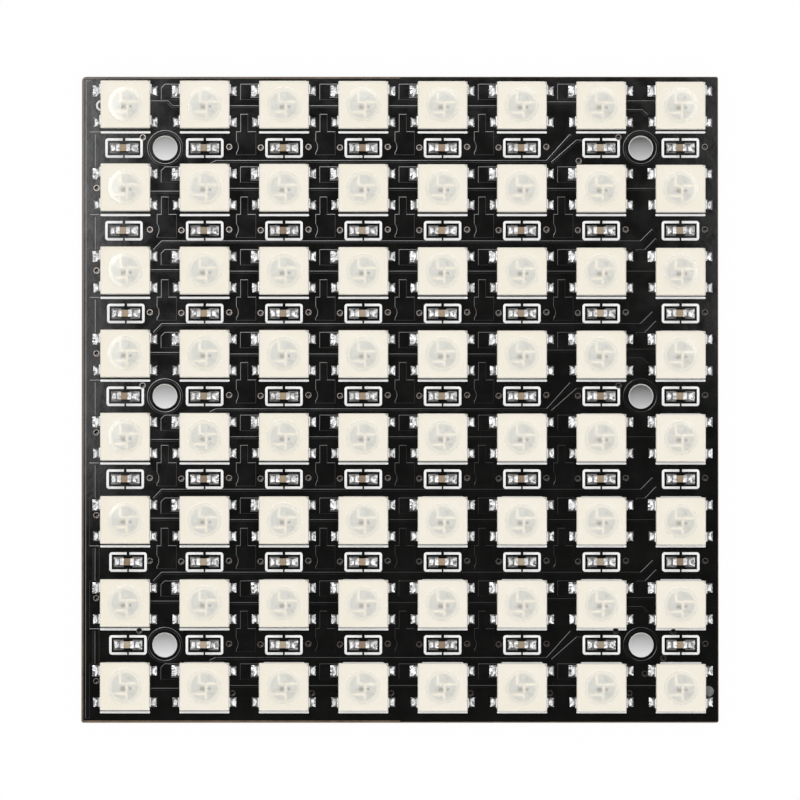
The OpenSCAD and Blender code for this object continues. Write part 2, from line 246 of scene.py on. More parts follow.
# %% A socket that can be added and multiplied
class Value:
    """A socket of a node tree, on which sums are written."""

    def __init__(self, graph, socket):
        self.graph = graph
        self.socket = socket

    def math(self, operation, *others):
        return self.graph.node("ShaderNodeMath", {"operation": operation}, [self, *others])

    def math_after(self, operation, first):
        return self.graph.node("ShaderNodeMath", {"operation": operation}, [first, self])

    def __add__(self, other):
        return self.math("ADD", other)

    def __sub__(self, other):
        return self.math("SUBTRACT", other)

    def __rsub__(self, other):
        return self.math_after("SUBTRACT", other)

    def __mul__(self, other):
        return self.math("MULTIPLY", other)

    def __truediv__(self, other):
        return self.math("DIVIDE", other)

    def __rtruediv__(self, other):
        return self.math_after("DIVIDE", other)

    def __abs__(self):
        return self.math("ABSOLUTE")

    __radd__ = __add__
    __rmul__ = __mul__

    def above(self, edge):
        return self.math("GREATER_THAN", edge)

    def below(self, edge):
        return self.math("LESS_THAN", edge)

    def least(self, other):
        return self.math("MINIMUM", other)

    def most(self, other):
        return self.math("MAXIMUM", other)

    def ramp(self, start, end):
        """0 at start, 1 at end, a straight slope between and level beyond them."""
        return self.graph.node("ShaderNodeMapRange", {"clamp": True},
                               {"Value": self, "From Min": start, "From Max": end})


print("sums can be written")

# %% [markdown]
# ## A tree of nodes
# Every other node comes from one method, which takes the node's type, its
# settings, and a number or a link for each socket. Noise and a blend of two
# colours are wanted so often that they have names of their own. Noise is read
# in the object's own coordinates, so that it stays with the piece.

# %% A tree of nodes
class Graph:
    """A node tree, and the coordinates that its sums read."""

    def __init__(self, tree, coordinates, scale):
        self.tree = tree
        source = self.node("ShaderNodeTexCoord", {}, {}, coordinates)
        self.place = self.node("ShaderNodeVectorMath", {"operation": "SCALE"},
                               {"Vector": source, "Scale": scale})
        parts = self.node("ShaderNodeSeparateXYZ", {}, [self.place]).socket.node
        self.x, self.y, self.z = (Value(self, s) for s in parts.outputs)

    def node(self, kind, settings, inputs, output=0):
        made = self.tree.nodes.new(kind)
        for key, value in settings.items():
            if key == "stops":
                ramp = made.color_ramp
                while len(ramp.elements) < len(value):
                    ramp.elements.new(0.5)
                for element, (spot, colour) in zip(ramp.elements, value):
                    element.position, element.color = spot, (*colour, 1)
            else:
                setattr(made, key, value)
        pairs = inputs.items() if isinstance(inputs, dict) else enumerate(inputs)
        for key, value in pairs:
            if isinstance(value, Value):
                self.tree.links.new(value.socket, made.inputs[key])
            else:
                made.inputs[key].default_value = value
        return Value(self, made.outputs[output])

    def noise(self, scale, detail=2.0, place=None, seed=0.0):
        moved = self.node("ShaderNodeVectorMath", {"operation": "ADD"},
                          [place or self.place, (seed, seed * 1.7, seed * 0.6)])
        return self.node("ShaderNodeTexNoise", {},
                         {"Vector": moved, "Scale": scale, "Detail": detail})

    def blend(self, mask, first, second):
        """The first colour where the mask is 0 and the second where it is 1."""
        first, second = (c if isinstance(c, Value) else (*c, 1) for c in (first, second))
        return self.node("ShaderNodeMix", {"data_type": "RGBA"},
                         {0: mask, 6: first, 7: second}, 2)


print("nodes can be added")

# %% [markdown]
# ## A finish
# One class stands for one material. What is the same all over the surface is
# set on the shader's own sockets, and what changes from place to place is
# linked to them. Bumps are given their height in millimetres, so that each can
# be judged against the size of the piece.

# %% A finish
class Finish(Graph):
    """One material, with the shader's own sockets and the object's coordinates in mm."""

    def __init__(self, name, **fixed):
        self.material = bpy.data.materials.new(name)
        self.material.use_nodes = True
        super().__init__(self.material.node_tree, "Object", 1 / MM)
        self.shader = self.tree.nodes["Principled BSDF"]
        for socket, value in fixed.items():
            self.shader.inputs[socket.replace("_", " ")].default_value = value

    def set(self, **sockets):
        for name, value in sockets.items():
            self.tree.links.new(value.socket, self.shader.inputs[name.replace("_", " ")])

    def bumps(self, height, depth_mm):
        """A height of 0 to 1, which stands for depth_mm."""
        self.set(Normal=self.node("ShaderNodeBump", {},
                                  {"Height": height, "Distance": depth_mm * MM}))
        return self.material


print("finish writer ready")

# %% [markdown]
# ## Solder mask and laminate
# The board is glass and epoxy, brown where it is cut, under a glossy black
# lacquer that stops a hair short of the edges and the holes, and a little more
# than that on the left half. The laminate is painted paler towards the far left
# corner, a painted highlight where its cut edge faces the lamps, and almost
# white round the holes, a painted highlight on their rims. One material covers
# both: the height and the distance from the rim say which of the two is seen.
# The lacquer mirrors sharply and its orange peel breaks the mirror image up,
# while a coat that is far less smooth stands for the thin film of dust and wiped
# flux that makes a wide, faint sheen. The slopes of the tracks get a painted
# highlight too.

# %% Board finish
BOARD_T = 1.6
HALF_X = 32.5
HALF_Y = 33
HOLE_LIP = 1.26
# Mounting holes stand three columns out from the grid's middle and three rows apart.
HOLE_STEP = 3
# Between these heights a face belongs to the board's sawn side.
SIDE_LOW = 0.03
SIDE_HIGH = BOARD_T - 0.01


def hole_middle(f):
    """How far a point is from its mounting hole's middle, across and along."""
    across = abs(f.x - SHIFT) - HOLE_STEP * PITCH_X
    step = HOLE_STEP * PITCH_Y
    along = (((f.y - CAP_Y[3]) / step + 0.5).math("FRACT") - 0.5) * step
    return across, along


def board_finish():
    f = Finish("glossy solder mask", IOR=1.5, Coat_Roughness=0.36, Coat_IOR=1.5)
    bare = f.x.below(0) * 0.12 + 0.07
    rim = ((abs(f.x) - HALF_X).most(abs(f.y) - HALF_Y) + bare).above(0)
    across, along = hole_middle(f)
    lip = (across * across + along * along).below(HOLE_LIP ** 2)
    cut = rim.most(lip).most(f.z.above(SIDE_LOW) * f.z.below(SIDE_HIGH))
    fibres = f.noise(3.0, 3, f.node("ShaderNodeVectorMath", {"operation": "MULTIPLY"},
                                    [f.place, (0.4, 0.4, 9.0)]))
    dark = f.blend(fibres.ramp(0.35, 0.65), (0.10, 0.062, 0.035), (0.19, 0.125, 0.075))
    # Painted highlights: the cut edge is paler towards the far left corner, where it faces the
    # lamps, and the holes' rims are almost white.
    pale = (f.x * -0.02 + f.y * 0.012).ramp(0.2, 0.9)
    laminate = f.blend(lip, f.blend(pale, dark, (0.20, 0.165, 0.14)), (0.66, 0.65, 0.62))
    haze = f.noise(0.22, 4, seed=3.0).ramp(0.45, 0.8)
    lacquer = f.blend(haze, (0.0032, 0.0030, 0.0028), (0.0050, 0.0048, 0.0044))
    # Painted highlight on the slopes of the tracks, read from their attribute and faded towards the
    # near right.
    shoulder = f.node("ShaderNodeAttribute", {"attribute_name": "shoulder"}, {}, 2)
    highlight_fade = (f.x * -0.018 + f.y * 0.018 + 0.36).most(0.08).least(1)
    lacquer = f.blend(shoulder * highlight_fade, lacquer, (0.52, 0.52, 0.53))
    f.set(Base_Color=f.blend(cut, lacquer, laminate))
    smears = f.noise(0.6, 5, seed=9.0).ramp(0.35, 0.75)
    f.set(Roughness=cut * 0.5 + (1 - cut) * (0.055 + smears * 0.05))
    f.set(Coat_Weight=(1 - cut) * (smears * 0.08 + 0.04))
    peel = f.noise(0.6, 2, seed=5.0) * 0.85 + f.noise(2.2, 1, seed=6.0) * 0.15
    return f.bumps(peel, 0.004)


MASK = board_finish()
print("made", MASK.name)

# %% [markdown]
# ## Where the plated holes are
# The solid of the plated holes holds 110 small tubes in one mesh. A second
# list of their places could go wrong, so the places are read off the tubes:
# vertices that share a place or an edge belong to one tube, and the middle of
# what it spans is the hole's.

# %% Middles of loose parts
def part_middles(o):
    """The middle, across and along, of each loose part of a mesh, in mm."""
    mesh = o.data
    parent = list(range(len(mesh.vertices)))

    def root(i):
        while parent[i] != i:
            parent[i] = parent[parent[i]]
            i = parent[i]
        return i

    seen = {}
    for v in mesh.vertices:
        place = tuple(round(c / MM, 4) for c in v.co)
        if place in seen:
            parent[root(v.index)] = root(seen[place])
        seen[place] = v.index
    for e in mesh.edges:
        parent[root(e.vertices[0])] = root(e.vertices[1])
    parts = {}
    for v in mesh.vertices:
        parts.setdefault(root(v.index), []).append(v.co / MM)
    return [((min(p.x for p in part) + max(p.x for p in part)) / 2,
             (min(p.y for p in part) + max(p.y for p in part)) / 2) for part in parts.values()]


VIA_PLACES = part_middles(nodes["vias"])
print("plated holes:", len(VIA_PLACES))

# %% [markdown]
# ## The board
# A cut panel has crisp corners that a router rounded a little, one of them
# more than the rest. It could be a drawn outline that is given thickness, but
# a block is as true and its edges are easy to pick. The upright ones are
# bevelled to the corner radii, the long ones are broken by a hair so that they
# catch the light, and one joined set of rods carves all the holes.

# %% Board
HOLE_R = 1.2
VIA_BORE = 0.18
ROUNDER_CORNER = 0.45
CORNER = 0.2
BROKEN_EDGE = 0.04


def make_board():
    o = block(-HALF_X, HALF_X, -HALF_Y, HALF_Y, 0, BOARD_T)
    upright = lambda a, b: near(a.x, b.x) and near(a.y, b.y)
    soften(o, lambda a, b: upright(a, b) and a.x < 0 and a.y > 0, ROUNDER_CORNER, 5)
    soften(o, lambda a, b: upright(a, b) and not (a.x < -30 and a.y > 30)
           and abs(a.x) > HALF_X - 0.1 and abs(a.y) > HALF_Y - 0.1, CORNER, 3)
    for z in (0, BOARD_T):
        soften(o, both_at(z), BROKEN_EDGE, 1)
    holes = [(x, y, HOLE_R, 48) for x in (SHIFT - HOLE_STEP * PITCH_X, SHIFT + HOLE_STEP * PITCH_X)
             for y in CAP_Y[::HOLE_STEP]]
    holes += [(x, y, VIA_BORE, 14) for x, y in VIA_PLACES]
    rods = []
    for x, y, r, sides in holes:
        let_go()
        ops.mesh.primitive_cylinder_add(vertices=sides, radius=r, depth=4,
                                        location=(x, y, BOARD_T / 2))
        rods.append(bpy.context.object)
    cutter = take(*rods)
    ops.object.join()
    apply_place(cutter)
    carve(o, cutter)
    return smooth(o, 30)


board = dress(make_board(), ["circuit_board"], MASK)
board.name = "board"
print("board faces:", len(board.data.polygons))

# %% [markdown]
# ## Plugged vias
# The plated holes are filled with the same lacquer, which is why they look
# dark and not white from above. It runs over the inner part of the ring and
# leaves a thin line of metal. A flat disc would close the hole too, but its
# rim would catch no light. So each plug is a rod whose top is drawn out to a
# flat head, with a dish in the middle, copied to every hole.

# %% Plugs
PLUG_R = 0.149
PLUG_LOW = 0.01
PLUG_HIGH = BOARD_T + 0.02


def make_plug():
    let_go()
    ops.mesh.primitive_cylinder_add(vertices=12, radius=PLUG_R, depth=PLUG_HIGH - PLUG_LOW,
                                    location=(0, 0, (PLUG_LOW + PLUG_HIGH) / 2))
    o = apply_place(bpy.context.object)
    pick(o, "FACE", lambda c, n: n.z > 0.9)
    ops.mesh.extrude_region_move(TRANSFORM_OT_translate={"value": (0, 0, 0.006)})
    ops.transform.resize(value=(1.55, 1.55, 1))
    ops.mesh.inset(thickness=0.08, depth=-0.012)
    let_go()
    return smooth(o, 60)


plug = make_plug()
plugs = lay_out([plug], "via_plugs", [(x, y, 0, 0, 0) for x, y in VIA_PLACES])
bpy.data.objects.remove(plug)
dress(plugs, [], MASK)
print("plug faces:", len(plugs.data.polygons))

# %% [markdown]
# ## Tracks under the lacquer
# Copper a few hundredths of a millimetre thick lifts the lacquer, which
# flows down its sides in slopes, and those slopes are all that shows of a
# track. They could be a pattern in the finish, but then no light would catch
# them. So only the solid's top is kept and laid on the board, and it is inset
# with a small rise: a shallow slope all round, since the lacquer rounds off
# most of the step.

# %% Tracks
# The solid's top sinks almost to the board, and the slopes rise from there.
LACQUER_SINK = 0.024
SLOPE_WIDTH = 0.055
SLOPE_RISE = 0.009


def make_tracks():
    o = nodes["front_tracks"].copy()
    o.data = nodes["front_tracks"].data.copy()
    for note in list(o.keys()):
        del o[note]  # the frame's notes belong to the solid and not to this new piece
    o.parent = None
    bpy.context.scene.collection.objects.link(o)
    o.scale = (1 / MM, 1 / MM, 1 / MM)
    apply_place(o)
    ops.mesh.customdata_custom_splitnormals_clear()
    all_of(o)
    ops.mesh.remove_doubles(threshold=1e-3)
    let_go()
    pick(o, "FACE", lambda c, n: n.z < 0.9)
    ops.mesh.delete(type="FACE")
    let_go()
    shift(o, lambda p: True, (0, 0, -LACQUER_SINK))
    all_of(o)
    ops.mesh.select_mode(type="FACE")
    ops.mesh.inset(thickness=SLOPE_WIDTH, depth=SLOPE_RISE, use_even_offset=True)
    let_go()
    return smooth(o, 3)


tracks = make_tracks()
print("track faces:", len(tracks.data.polygons))

# %% [markdown]
# ## Painted highlights on the slopes
# The slopes of the tracks are painted greyer than the rest, most of all those
# that face the far side or the left, where most of the lamps stand: a painted
# highlight, since shine alone would need slopes far steeper than the real
# ones. So each face keeps a share of it, worked out from the way it leans, and
# the board's finish reads it and fades it towards the near right.

# %% Painted highlight shares on the slopes
def slope_highlight_share(way):
    """How much painted highlight a slope gets that leans the way of this unit vector in plan."""
    return max(0.12, 0.42 + way.y * 0.5 - way.x * 0.28)


def mark_slopes(o):
    shoulder = o.data.attributes.new("shoulder", "FLOAT", "FACE")
    slopes = [f for f in o.data.polygons if f.normal.xy.length > 0.01]
    for face in slopes:
        shoulder.data[face.index].value = slope_highlight_share(face.normal.xy.normalized())
    return len(slopes)


slope_count = mark_slopes(tracks)
dress(tracks, ["front_tracks"], MASK)
tracks.name = "tracks"
print("slopes:", slope_count)

# %% [markdown]
# ## Housing plastic
# The bodies are moulded in a cream plastic that scatters light: each has its
# own slight tint, with a faint mottle. The cup's wall, and with it the body's
# sides, is painted paler: painted light that lifts the shade in the cup. A
# second material for the wall would need its faces marked. A sum over the
# distance from the nearest LED's middle does the same.

# %% Housing plastic
LED_W = 5.1
LED_L = 4.9
LED_H = 1.57
PLACE_UP = 0.01
PLACE_ROW = 0.03
PLACE_COLUMN = 0.02


def placed_y(row, column):
    """Where a housing was set down, which drifts a little from its lands."""
    return (LED_Y[row] + PLACE_UP + PLACE_ROW * (MIDDLE - row)
            + PLACE_COLUMN * (MIDDLE - column))


def led_x(f):
    """How far a point is from its LED's middle, across."""
    return (((f.x - SHIFT) / PITCH_X).math("FRACT") - 0.5) * PITCH_X


def led_radius(f):
    """How far a point is from the middle of its LED's cup, in plan."""
    drift = PLACE_UP - (f.x - SHIFT) * (PLACE_COLUMN / PITCH_X)
    y = (((f.y - SHIFT - drift) / (PITCH_Y + PLACE_ROW)).math("FRACT") - 0.5) * PITCH_Y
    x = led_x(f)
    return (x * x + y * y).math("POWER", 0.5)


def plastic_finish():
    f = Finish("cream moulded plastic", IOR=1.5)
    each = f.noise(0.11, 0, seed=2.0)
    mottle = f.noise(1.3, 3, seed=4.0).ramp(0.3, 0.7)
    pale = f.blend(each.ramp(0.35, 0.65), (0.915, 0.86, 0.735), (0.93, 0.88, 0.77))
    body = f.blend(mottle * 0.35, pale, (0.89, 0.82, 0.695))
    # Painted light: the cup's wall, and everything else of the body below its top but the cup's
    # floor, is painted paler.
    painted_cup_light = led_radius(f).ramp(1.32, 1.42) * f.z.below(BOARD_T + LED_H - 0.02)
    f.set(Base_Color=f.blend(painted_cup_light, body, (0.99, 0.96, 0.87)))
    f.set(Roughness=f.noise(2.5, 3, seed=8.0) * 0.15 + 0.45)
    return f.bumps(f.noise(9.0, 3, seed=1.0), 0.004)


PLASTIC = plastic_finish()
print("made", PLASTIC.name)

# %% [markdown]
# ## Moulded housings
# The plastic is moulded round the lead frame. Its walls lean in above and
# below the line where the mould parts, its first corner is cut off, and a
# cone in the top is the reflector. It could be built up from outlines, but a
# block that is cut at the parting line and narrowed above and below it has the
# same walls in two moves. The corner's edge is bevelled away, a cone carves
# the cup, and small bevels leave the soft edges of a real moulding.

# %% One housing
SEAT = 0.19
FRAME_Z = 0.75
CUP_Z = 0.90
CUP_R = 1.75
FLOOR_R = 1.35
CUP_SLOPE = (CUP_R - FLOOR_R) / (LED_H - CUP_Z)
DRAFT = math.tan(math.radians(4))
PARTING = FRAME_Z + 0.075
CUT_CORNER = 0.3
ROUND_CORNER = 0.09
CUP_LIP = 0.15
TOP_EDGE = 0.07
BOTTOM_EDGE = 0.05


def cup_cutter():
    """A cone that starts a little under the cup's floor and ends above the top."""
    under, over = 0.03, 0.2
    rise = LED_H + over - (CUP_Z - under)
    let_go()
    ops.mesh.primitive_cone_add(vertices=40, radius1=FLOOR_R - under * CUP_SLOPE,
                                radius2=FLOOR_R + (rise - under) * CUP_SLOPE, depth=rise,
                                location=(0, 0, CUP_Z - under + rise / 2))
    return apply_place(bpy.context.object)


def make_housing():
    o = block(-LED_W / 2, LED_W / 2, -LED_L / 2, LED_L / 2, SEAT, LED_H)
    cut_across(o, (0, 0, PARTING), (0, 0, 1))
    for z in (SEAT, LED_H):
        lean = abs(z - PARTING) * DRAFT
        factors = (1 - 2 * lean / LED_W, 1 - 2 * lean / LED_L, 1)
        narrow(o, lambda p: near(p.z, z), factors, (0, 0, z))
    first = lambda p: p.x > LED_W / 2 - 0.25 and p.y > LED_L / 2 - 0.25
    upper = lambda a, b: max(a.z, b.z) > PARTING + 0.1 and min(a.z, b.z) > PARTING - 0.01
    upright = lambda a, b: abs(a.z - b.z) > 0.3
    soften(o, lambda a, b: upper(a, b) and first(a) and first(b), CUT_CORNER, 1)
    soften(o, lambda a, b: upright(a, b) and a.x * a.y < 0, ROUND_CORNER)
    soften(o, lambda a, b: upright(a, b) and a.x < 0 and a.y < 0, ROUND_CORNER)
    carve(o, cup_cutter())
    top = both_at(LED_H)
    inner = lambda p: p.xy.length < CUP_R + 0.05
    outer = lambda p: p.xy.length > CUP_R + 0.45
    soften(o, lambda a, b: top(a, b) and inner(a) and inner(b), CUP_LIP, 3)
    soften(o, lambda a, b: top(a, b) and outer(a) and outer(b), TOP_EDGE)
    soften(o, both_at(SEAT), BOTTOM_EDGE, 1)
    return smooth(o, 32)


housing = make_housing()
print("faces of one housing:", len(housing.data.polygons))

# %% [markdown]
# ## Milky silicone
# The cup is filled with silicone, which is clear but milky. A shader that
# scatters inside would be truer and far slower. Here the milkiness is the
# alpha: about half of the light goes through, less of it near the wall. Alpha
# takes as much from the gloss, and a full coat gives some of it back.

# %% Resin finish
def resin_finish():
    f = Finish("milky silicone", IOR=1.6, Coat_Weight=1.0, Coat_Roughness=0.02)
    f.set(Base_Color=f.blend(f.noise(0.9, 3, seed=7.0).ramp(0.3, 0.7),
                             (0.93, 0.89, 0.78), (0.95, 0.91, 0.80)))
    f.set(Roughness=f.noise(1.5, 3, seed=11.0) * 0.06 + 0.02)
    rim = led_radius(f).ramp(1.25, 1.6)
    f.set(Alpha=f.noise(0.8, 3, seed=12.0).ramp(0.3, 0.75) * 0.06 + rim * 0.25 + 0.41)
    return f.bumps(f.noise(1.3, 2, seed=13.0), 0.006)


RESIN = resin_finish()
print("made", RESIN.name)

# %% [markdown]
# ## Four resin domes
# The silicone sets with a very low dome, never twice the same. A cone fills
# the cup, its top is inset ring by ring, each ring a little off the one
# before, and the rings are then lifted on to a curve. Four domes of different
# heights are enough for the eye, and they are dealt out over the matrix.

# %% Four resin domes
RESIN_LOW = CUP_Z - 0.04
RESIN_HIGH = LED_H - 0.035
RESIN_R = FLOOR_R + (RESIN_HIGH - CUP_Z + 0.02) * CUP_SLOPE
RINGS = (0.96, 0.78, 0.55, 0.28)
DOMES = ((0.008, (0, 0)), (0.014, (0.1, 0.05)), (0.011, (-0.1, 0.1)), (0.005, (0.05, -0.1)))


def make_resin(dome, lean):
    """One fill, whose middle is higher by dome and whose rings move off by lean."""
    let_go()
    ops.mesh.primitive_cone_add(vertices=36, radius1=FLOOR_R - 0.03 * CUP_SLOPE,
                                radius2=RESIN_R, depth=RESIN_HIGH - RESIN_LOW,
                                location=(0, 0, (RESIN_LOW + RESIN_HIGH) / 2))
    o = apply_place(bpy.context.object)
    pick(o, "FACE", lambda c, n: n.z > 0.9)
    last = 0.0
    for ring in RINGS:
        step = RESIN_R * (1 - ring)
        ops.mesh.inset(thickness=step - last, depth=0)
        ops.transform.translate(value=(lean[0] * 0.1, lean[1] * 0.1, 0))
        last = step
    let_go()
    for v in o.data.vertices:
        d = v.co.xy.length / RESIN_R
        if v.co.z > RESIN_HIGH - 0.001 and d < 0.99:
            v.co.z = RESIN_HIGH + dome * (1 - d * d)
    return smooth(o, 60)


resins = [make_resin(*d) for d in DOMES]
print("faces of one dome:", len(resins[0].data.polygons))

# %% [markdown]
# ## Bare copper
# Two pieces are of bare metal that has dulled: the rings of the plated holes
# and the bond wires. The metal is stained here and there, and it is painted
# brighter towards the far left, a painted sheen that leaves it darker towards
# the near right. Two materials could tell them apart, but both are too thin
# for that to show, so one serves both.

# %% Copper finish
def copper_finish():
    f = Finish("plated hole", Metallic=1.0)
    stain = f.noise(5.0, 3, seed=61.0) * 0.3
    # Painted sheen: brighter towards the far left and darker towards the near right, with stains on
    # top.
    bright = (f.x * -0.012 + f.y * 0.014 + 0.4 + stain).most(0.3).least(1)
    f.set(Base_Color=f.blend(bright, (0.09, 0.074, 0.064), (0.46, 0.40, 0.36)))
    f.set(Roughness=f.noise(6.0, 2, seed=62.0) * 0.15 + 0.15)
    return f.bumps(f.noise(9.0, 2, seed=63.0), 0.006)


COPPER = copper_finish()
print("made", COPPER.name)

# %% [markdown]
# ## Bond wires
# Fine wires join the chips to the islands. A wire leaves its pad upwards, runs
# across and comes down. It could be a curve with a round bevel, but at this
# thickness only its arch shows. So each is a thin bar at its chip's height. It
# is cut three times, the cuts are lifted and the far end is lowered to its
# island. One set of six is made for all the LEDs.

# %% Bond wires
WIRE = 0.024
ARCH = ((0.15, 0.07), (0.5, 0.1), (0.85, 0.04))
WIRES = [(-0.25, -0.15, 120, 0.45, 0.15), (-0.35, -0.25, 190, 0.5, 0.15),
         (-0.1, -0.2, 70, 0.75, 0.15), (-0.05, -0.3, -50, 0.7, 0.15),
         (0.5, 0.7, 110, 0.4, 0.1), (0.62, -0.65, -20, 0.4, 0.1)]


def make_wire(x, y, turn, length, top):
    """A wire from (x, y) on a chip that is top high, turned that many degrees."""
    o = block(0, length, -WIRE / 2, WIRE / 2, CUP_Z + top, CUP_Z + top + WIRE)
    for k, lift in ARCH:
        cut_across(o, (length * k, 0, 0), (1, 0, 0))
        shift(o, lambda p: near(p.x, length * k, 0.005), (0, 0, lift))
    shift(o, lambda p: near(p.x, length, 0.005), (0, 0, -top))
    o.location, o.rotation_euler = (x, y, 0), (0, 0, math.radians(turn))
    return apply_place(o)


wire_set = take(*[make_wire(*w) for w in WIRES])
ops.object.join()
print("faces of one set of wires:", len(wire_set.data.polygons))

# %% [markdown]
# ## Solder
# Solder that has set is bright and finely wrinkled, with duller, darker
# patches where it cooled last. It mirrors what stands round it, so a smooth
# ramp would show one lamp as one streak, and most of its look comes from the
# bumps. The same sums, made duller or darker, do for the lands and for the
# plated ends of capacitors.

# %% Solder finish
def solder_finish(name, dull=0.0, tone=1.0):
    f = Finish(name, Metallic=1.0)
    grain = f.noise(1.8, 3, seed=21.0)
    light = (0.84 * tone, 0.84 * tone, 0.85 * tone)
    dark = (0.42 * tone, 0.41 * tone, 0.41 * tone)
    f.set(Base_Color=f.blend(grain.ramp(0.4, 0.7), light, dark))
    f.set(Roughness=f.noise(3.0, 2, seed=22.0).ramp(0.3, 0.8) * 0.16 + 0.2 + dull)
    height = f.noise(2.2, 1, seed=23.0) * 0.88 + f.noise(6.0, 1, seed=24.0) * 0.12
    return f.bumps(height, 0.11)


SOLDER = solder_finish("bright solder")
print("made", SOLDER.name)

# %% [markdown]
# ## Solder ramps
# Melted solder wets the land and the lead and sets in a hollow ramp between
# them, a little different each time. It spreads like a fan: a narrow ridge at
# the lead, with steep flanks, that opens to the land's far edge. A curved
# patch would be smoother, but there are hundreds, so each has few faces: it is
# a block that is cut twice across and twice along. Its crest is sunk to a
# hollow curve, its flanks are pressed down to the land, and the strip between
# the cuts is spread at the far end. Three such shapes are dealt out, and a
# wider one goes to the far left lead of every LED.

# %% Solder ramps
LEAD_Y = 1.6
LEAD_FACE = 2.7
LAND_END = 3.25
FOOT = 0.05
HAIR = 0.01
RAMP_CUTS = (0.3, 0.65)
RAMP_DROPS = (0.28, 0.2)
RAMP_SPREAD = ((0, 0.8), (0.65, 1.25), (1, 1.5))


def make_ramp(start, end, half, low, high, hollow, lump):
    """A ramp that runs from start to end and from high down to low, half wide each way."""
    o = block(start, end, -half, half, low, high)
    reach, rise = end - start, high - low
    foot = low + FOOT
    across = lambda p, k: near(p.x, start + reach * k, HAIR)
    shift(o, lambda p: p.x > end - HAIR and p.z > high - HAIR, (0, 0, foot - high))
    for k in RAMP_CUTS:
        cut_across(o, (start + reach * k, 0, 0), (1, 0, 0))
    for y in (-half * 0.5, half * 0.5):
        cut_across(o, (0, y, 0), (0, 1, 0))
    for k, drop in zip(RAMP_CUTS, RAMP_DROPS):
        shift(o, lambda p: across(p, k) and p.z > low + HAIR, (0, 0, -hollow * drop * rise))
    shift(o, lambda p: across(p, RAMP_CUTS[1]) and near(p.y, half * 0.5, HAIR) and p.z > low + HAIR,
          (0, 0, lump))
    narrow(o, lambda p: abs(p.y) > half * 0.9 and p.z > foot + 0.001, (1, 1, 0.12), (0, 0, foot))
    for k, spread in RAMP_SPREAD:
        narrow(o, lambda p: across(p, k) and near(abs(p.y), half * 0.5, HAIR),
               (1, spread, 1), (end, 0, low))
    narrow(o, lambda p: p.x < start + HAIR, (1, 0.85, 1), (end, 0, low))
    return smooth(o, 75)


lead_ramps = [make_ramp(LEAD_FACE - 0.03, LAND_END, 0.47, 0.04, 0.48, 1.0, 0.03),
              make_ramp(LEAD_FACE - 0.03, LAND_END - 0.02, 0.46, 0.04, 0.42, 0.8, 0.05),
              make_ramp(LEAD_FACE - 0.03, LAND_END, 0.475, 0.04, 0.5, 1.2, 0.0),
              make_ramp(LEAD_FACE - 0.03, LAND_END + 0.09, 0.55, 0.04, 0.36, 1.3, 0.02)]
WIDE_RAMP = len(lead_ramps) - 1
print("faces of one ramp:", len(lead_ramps[0].data.polygons))

# %% [markdown]
# ## Dealing out the rows
# Each row of eight is one mesh for each kind of piece, as the solids are, so
# that a row can be hidden or painted as one. A seeded die picks the variant,
# which looks like chance and comes out the same each time. What the silicone
# holds back it scatters on to the floor of the cup, so the fills cast no
# shadow there.

# %% Rows of LEDs
die = random.Random(8)


def joints_of(row):
    """The places of a row's solder ramps, on both sides of each LED."""
    return [(x, LED_Y[row] + side * LEAD_Y, BOARD_T, 0 if way > 0 else math.pi,
             WIDE_RAMP if side > 0 > way else die.randrange(WIDE_RAMP))
            for x in LED_X for side in (-1, 1) for way in (-1, 1)]


for row in range(COUNT):
    number = row + 1
    spots = [(x, placed_y(row, column), BOARD_T) for column, x in enumerate(LED_X)]
    dress(lay_out([housing], f"housings_{number}", [(*s, 0, 0) for s in spots]),
          [f"led_housings_row_{number}"], PLASTIC)
    dealt = [(*s, 0, die.randrange(len(resins))) for s in spots]
    fills = dress(lay_out(resins, f"resin_{number}", dealt),
                  [f"led_fills_row_{number}"], RESIN)
    fills.visible_shadow = fills.visible_diffuse = False
    dress(lay_out(lead_ramps, f"lead_solder_{number}", joints_of(row)),
          [f"led_solder_row_{number}"], SOLDER)
wire_places = [(x, placed_y(row, column), BOARD_T, 0, 0)
               for column, x in enumerate(LED_X) for row in range(COUNT)]
dress(lay_out([wire_set], "bond_wires", wire_places), [], COPPER)
for pattern in [housing, wire_set, *resins, *lead_ramps]:
    bpy.data.objects.remove(pattern)
print("rows laid out:", COUNT)

# %% [markdown]
# ## Fired ceramic
# A chip capacitor is a block of fired ceramic with plated ends. Blocks from
# one reel differ in tint from sand to grey brown. A material for each tint
# would do, but here the tint is looked up by place, a cell of the grid at a
# time, so that one material serves all 56. The ends are tinned, like solder
# but duller.

# %% Ceramic and plated ends
def ceramic_finish():
    f = Finish("fired ceramic", IOR=1.5)
    column = ((f.x - SHIFT) / PITCH_X).math("FLOOR")
    line = ((f.y - SHIFT) / PITCH_Y + 0.5).math("FLOOR")
    cell = f.node("ShaderNodeCombineXYZ", {}, [column, line, 0.0])
    tint = f.node("ShaderNodeTexWhiteNoise", {"noise_dimensions": "3D"}, {"Vector": cell})
    ramp = f.node("ShaderNodeValToRGB", {"stops": [
        (0.0, (0.23, 0.15, 0.09)), (0.35, (0.40, 0.29, 0.18)),
        (0.7, (0.33, 0.26, 0.17)), (1.0, (0.50, 0.40, 0.28))]}, [tint])
    f.set(Base_Color=f.blend(f.noise(7.0, 3, seed=31.0) * 0.35, ramp, (0.24, 0.19, 0.14)))
    f.set(Roughness=f.noise(5.0, 2, seed=32.0) * 0.2 + 0.35)
    return f.bumps(f.noise(14.0, 2, seed=33.0), 0.01)


CERAMIC = ceramic_finish()
TINNED = solder_finish("tinned capacitor ends", 0.08)
print("made", CERAMIC.name, "and", TINNED.name)

